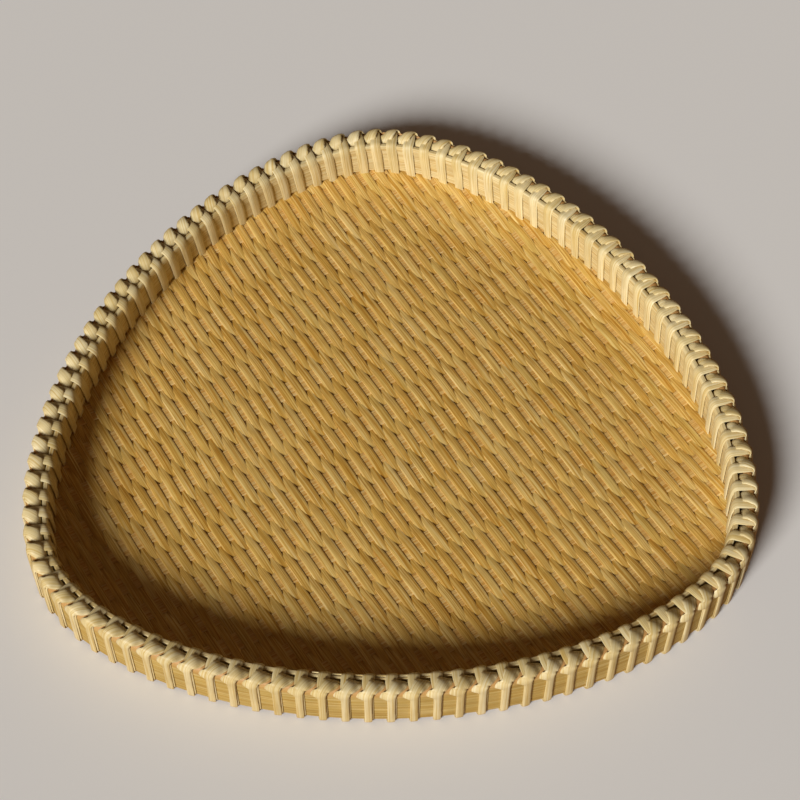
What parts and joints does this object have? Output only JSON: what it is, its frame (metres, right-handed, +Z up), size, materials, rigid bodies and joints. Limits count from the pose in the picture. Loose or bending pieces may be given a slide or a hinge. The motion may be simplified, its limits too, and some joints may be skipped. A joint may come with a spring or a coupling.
{
  "type": "woven bamboo draining basket",
  "caption": "Shallow draining basket of split bamboo, triangular with rounded corners: a flat woven mat held in a low rim of bent hoops that are bound all round with a flat strand lashing.",
  "frame": {"origin": "on the table, under the middle of the plan's bounding box", "axes": "+Z up out of the basket's floor, +Y toward the apex (the far rounded corner), +X to the right-hand front corner"},
  "size_m": [0.241, 0.2336, 0.0204],
  "materials": {
    "hoop_bamboo": "smooth split bamboo, satin",
    "strand_bamboo": "pale split bamboo strand, satin",
    "warp_bamboo": "split bamboo, matt, fine grain along the strip",
    "weft_bamboo": "split bamboo, matt, fine grain along the strip"
  },
  "bodies": {
    "root": {"outer_hoop": "hoop_bamboo", "inner_hoop": "hoop_bamboo", "binding_strand_01": "strand_bamboo", "edge_strand_01": "strand_bamboo", "binding_strand_02": "strand_bamboo", "edge_strand_02": "strand_bamboo", "binding_strand_03": "strand_bamboo", "edge_strand_03": "strand_bamboo", "binding_strand_04": "strand_bamboo", "edge_strand_04": "strand_bamboo", "binding_strand_05": "strand_bamboo", "edge_strand_05": "strand_bamboo", "warp_01": "warp_bamboo", "warp_02": "warp_bamboo", "warp_03": "warp_bamboo", "warp_04": "warp_bamboo", "warp_05": "warp_bamboo", "warp_06": "warp_bamboo", "warp_07": "warp_bamboo", "warp_08": "warp_bamboo", "warp_09": "warp_bamboo", "warp_10": "warp_bamboo", "warp_11": "warp_bamboo", "warp_12": "warp_bamboo", "warp_13": "warp_bamboo", "warp_14": "warp_bamboo", "warp_15": "warp_bamboo", "warp_16": "warp_bamboo", "warp_17": "warp_bamboo", "weft_01": "weft_bamboo", "weft_02": "weft_bamboo", "weft_03": "weft_bamboo", "weft_04": "weft_bamboo", "weft_05": "weft_bamboo", "weft_06": "weft_bamboo", "weft_07": "weft_bamboo", "weft_08": "weft_bamboo", "weft_09": "weft_bamboo", "weft_10": "weft_bamboo", "weft_11": "weft_bamboo", "weft_12": "weft_bamboo", "weft_13": "weft_bamboo", "weft_14": "weft_bamboo", "weft_15": "weft_bamboo", "weft_16": "weft_bamboo", "weft_17": "weft_bamboo", "weft_18": "weft_bamboo", "weft_19": "weft_bamboo", "weft_20": "weft_bamboo", "weft_21": "weft_bamboo", "weft_22": "weft_bamboo", "weft_23": "weft_bamboo", "weft_24": "weft_bamboo", "weft_25": "weft_bamboo", "weft_26": "weft_bamboo", "weft_27": "weft_bamboo", "weft_28": "weft_bamboo", "weft_29": "weft_bamboo", "weft_30": "weft_bamboo", "weft_31": "weft_bamboo"}
  },
  "joints": []
}
